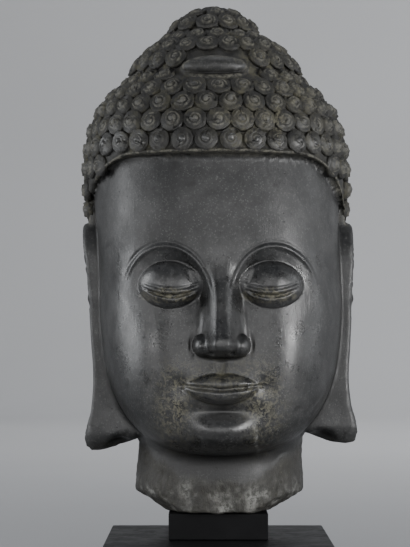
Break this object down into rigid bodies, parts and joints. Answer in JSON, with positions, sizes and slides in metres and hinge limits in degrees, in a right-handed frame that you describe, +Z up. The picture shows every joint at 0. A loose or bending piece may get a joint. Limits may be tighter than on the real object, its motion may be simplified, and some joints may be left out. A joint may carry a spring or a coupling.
{
  "type": "carved stone head on a stand",
  "caption": "Carved dark stone buddha head with snail-curl hair, jewelled mound and long ear lobes, its neck stub resting on a black block and square plinth.",
  "frame": {"origin": "middle of the plinth's underside", "axes": "+Z up through the crown, -Y the way the face looks, +X to the right of someone facing it"},
  "size_m": [0.2758, 0.3052, 0.5926],
  "materials": {
    "dark_stone": "waxed satin face, matte weathered curls and neck with pale earthy deposits in the recesses",
    "black_block": "black satin",
    "black_plinth": "black satin, softly reflecting"
  },
  "bodies": {
    "root": {"head": "dark_stone", "stand_post": "black_block", "stand_base": "black_plinth"}
  },
  "joints": []
}
